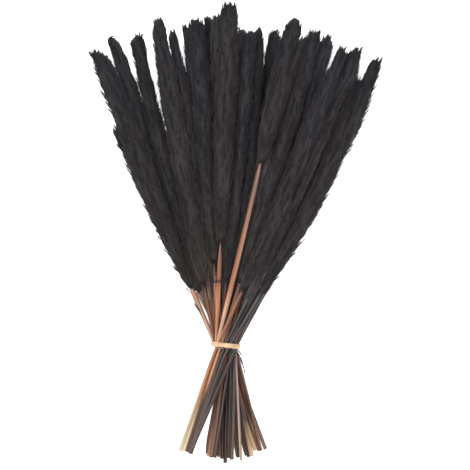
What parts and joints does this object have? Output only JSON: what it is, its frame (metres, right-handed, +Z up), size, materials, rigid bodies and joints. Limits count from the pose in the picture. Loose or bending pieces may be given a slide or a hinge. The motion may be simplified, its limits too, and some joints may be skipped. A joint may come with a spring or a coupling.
{
  "type": "bunch of pampas grass",
  "caption": "Bunch of dyed dried pampas reeds, their stems crossing through one flat elastic band, lying with the feathery plumes fanned out.",
  "frame": {"origin": "bottom centre of the bunch's bounding box, on the surface that it lies on", "axes": "+Y from the cut stem ends towards the plume tips, +Z up from the surface, +X across the fan to the right of someone looking down with the plumes at the top"},
  "size_m": [0.2842, 0.45, 0.0662],
  "materials": {
    "stem_amber": "orange-dyed cane, satin, fading to cream at the cut end",
    "stem_blush": "hardly dyed cane, pale pinkish beige, satin",
    "stem_brown": "brown-dyed cane, satin, on some fading to tan at the cut end",
    "stem_black": "black-dyed cane, satin, with a grey-purple bloom",
    "plume_umber": "soft matt hair, warm dark grey",
    "plume_brown": "soft matt hair, dark grey with a brown-purple cast",
    "plume_black": "soft matt hair, nearly black",
    "band_elastic": "pale peach elastic, matt"
  },
  "bodies": {
    "root": {"band": "band_elastic", "stem_01": "stem_brown", "stem_02": "stem_brown", "stem_03": "stem_brown", "stem_04": "stem_brown", "stem_05": "stem_brown", "stem_06": "stem_brown", "stem_07": "stem_brown", "stem_08": "stem_brown", "stem_09": "stem_amber", "stem_10": "stem_black", "stem_11": "stem_blush", "stem_12": "stem_black", "stem_13": "stem_amber", "stem_14": "stem_black", "stem_15": "stem_black", "stem_16": "stem_black", "stem_17": "stem_black", "stem_18": "stem_black", "stem_19": "stem_brown", "stem_20": "stem_amber", "stem_21": "stem_amber", "stem_22": "stem_black", "stem_23": "stem_brown", "stem_24": "stem_brown", "stem_25": "stem_amber", "stem_26": "stem_black", "stem_27": "stem_black", "stem_28": "stem_black", "plume_01": "plume_brown", "plume_02": "plume_brown", "plume_03": "plume_black", "plume_04": "plume_black", "plume_05": "plume_black", "plume_06": "plume_brown", "plume_07": "plume_brown", "plume_08": "plume_black", "plume_09": "plume_black", "plume_10": "plume_black", "plume_11": "plume_black", "plume_12": "plume_brown", "plume_13": "plume_umber", "plume_14": "plume_black", "plume_15": "plume_black", "plume_16": "plume_black", "plume_17": "plume_black", "plume_18": "plume_black", "plume_19": "plume_black", "plume_20": "plume_umber", "plume_21": "plume_brown", "plume_22": "plume_black", "plume_23": "plume_brown", "plume_24": "plume_brown", "plume_25": "plume_black", "plume_26": "plume_black", "plume_27": "plume_black", "plume_28": "plume_brown"}
  },
  "joints": []
}
